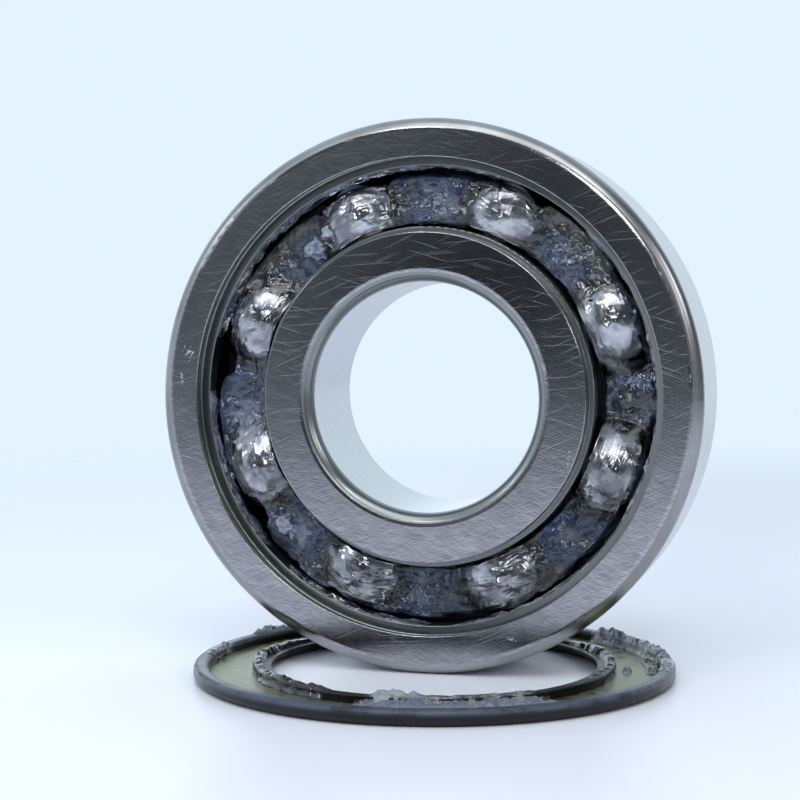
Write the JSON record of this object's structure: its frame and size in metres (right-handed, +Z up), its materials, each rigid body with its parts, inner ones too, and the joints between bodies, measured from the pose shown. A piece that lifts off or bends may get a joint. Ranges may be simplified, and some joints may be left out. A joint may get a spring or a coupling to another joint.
{
  "type": "angular contact bearing",
  "caption": "Sealed ball bearing standing on edge with its front seal taken off and lying flat round its foot, showing greased balls in a riveted cage between ground steel rings.",
  "frame": {"origin": "centre of the bore at mid-width, on the axis of rotation", "axes": "+Y along the axis of rotation towards the rear, sealed side, so the opened front faces -Y; +Z up, as the bearing stands on its outside diameter; +X to the right seen from the front"},
  "size_m": [0.072, 0.0624, 0.072],
  "materials": {
    "ring_steel": "ground",
    "ball_steel": "polished",
    "cage_steel": "pressed and tumbled",
    "rivet_steel": "cold formed",
    "seal_rubber": "moulded, satin",
    "insert_steel": "phosphated, dull"
  },
  "bodies": {
    "outer_ring": {"outer_ring": "ring_steel", "rear_seal_rubber": "seal_rubber", "rear_seal_insert": "insert_steel"},
    "inner_ring": {"inner_ring": "ring_steel"},
    "cage": {"cage_front_half": "cage_steel", "cage_rear_half": "cage_steel", "cage_rivet_1": "rivet_steel", "cage_rivet_2": "rivet_steel", "cage_rivet_3": "rivet_steel", "cage_rivet_4": "rivet_steel", "cage_rivet_5": "rivet_steel", "cage_rivet_6": "rivet_steel", "cage_rivet_7": "rivet_steel", "cage_rivet_8": "rivet_steel"},
    "front_seal": {"front_seal_rubber": "seal_rubber", "front_seal_insert": "insert_steel"},
    "ball_1": {"ball_1": "ball_steel"},
    "ball_2": {"ball_2": "ball_steel"},
    "ball_3": {"ball_3": "ball_steel"},
    "ball_4": {"ball_4": "ball_steel"},
    "ball_5": {"ball_5": "ball_steel"},
    "ball_6": {"ball_6": "ball_steel"},
    "ball_7": {"ball_7": "ball_steel"},
    "ball_8": {"ball_8": "ball_steel"}
  },
  "joints": [
    {"name": "inner_spin", "type": "hinge", "parent": "outer_ring", "child": "inner_ring", "pos_m": [0, 0, 0], "axis": [0, 1, 0], "continuous": true},
    {"name": "cage_spin", "type": "hinge", "parent": "outer_ring", "child": "cage", "pos_m": [0, 0, 0], "axis": [0, 1, 0], "continuous": true},
    {"name": "ball_1_spin", "type": "hinge", "parent": "cage", "child": "ball_1", "pos_m": [0.02356, 0, 0.00976], "axis": [-0.4619, 0.866, -0.1913], "continuous": true},
    {"name": "ball_2_spin", "type": "hinge", "parent": "cage", "child": "ball_2", "pos_m": [0.00976, 0, 0.02356], "axis": [-0.1913, 0.866, -0.4619], "continuous": true},
    {"name": "ball_3_spin", "type": "hinge", "parent": "cage", "child": "ball_3", "pos_m": [-0.00976, 0, 0.02356], "axis": [0.1913, 0.866, -0.4619], "continuous": true},
    {"name": "ball_4_spin", "type": "hinge", "parent": "cage", "child": "ball_4", "pos_m": [-0.02356, 0, 0.00976], "axis": [0.4619, 0.866, -0.1913], "continuous": true},
    {"name": "ball_5_spin", "type": "hinge", "parent": "cage", "child": "ball_5", "pos_m": [-0.02356, 0, -0.00976], "axis": [0.4619, 0.866, 0.1913], "continuous": true},
    {"name": "ball_6_spin", "type": "hinge", "parent": "cage", "child": "ball_6", "pos_m": [-0.00976, 0, -0.02356], "axis": [0.1913, 0.866, 0.4619], "continuous": true},
    {"name": "ball_7_spin", "type": "hinge", "parent": "cage", "child": "ball_7", "pos_m": [0.00976, 0, -0.02356], "axis": [-0.1913, 0.866, 0.4619], "continuous": true},
    {"name": "ball_8_spin", "type": "hinge", "parent": "cage", "child": "ball_8", "pos_m": [0.02356, 0, -0.00976], "axis": [-0.4619, 0.866, 0.1913], "continuous": true},
    {"name": "front_seal_lift", "type": "slide", "parent": "outer_ring", "child": "front_seal", "axis": [0, 0, 1], "range_m": [-0.03, 0]}
  ],
  "couplings": [
    {"joint": "cage_spin", "follows": "inner_spin", "ratio": 0.39554},
    {"joint": "ball_1_spin", "follows": "inner_spin", "ratio": -1.9822},
    {"joint": "ball_2_spin", "follows": "inner_spin", "ratio": -1.9822},
    {"joint": "ball_3_spin", "follows": "inner_spin", "ratio": -1.9822},
    {"joint": "ball_4_spin", "follows": "inner_spin", "ratio": -1.9822},
    {"joint": "ball_5_spin", "follows": "inner_spin", "ratio": -1.9822},
    {"joint": "ball_6_spin", "follows": "inner_spin", "ratio": -1.9822},
    {"joint": "ball_7_spin", "follows": "inner_spin", "ratio": -1.9822},
    {"joint": "ball_8_spin", "follows": "inner_spin", "ratio": -1.9822}
  ]
}
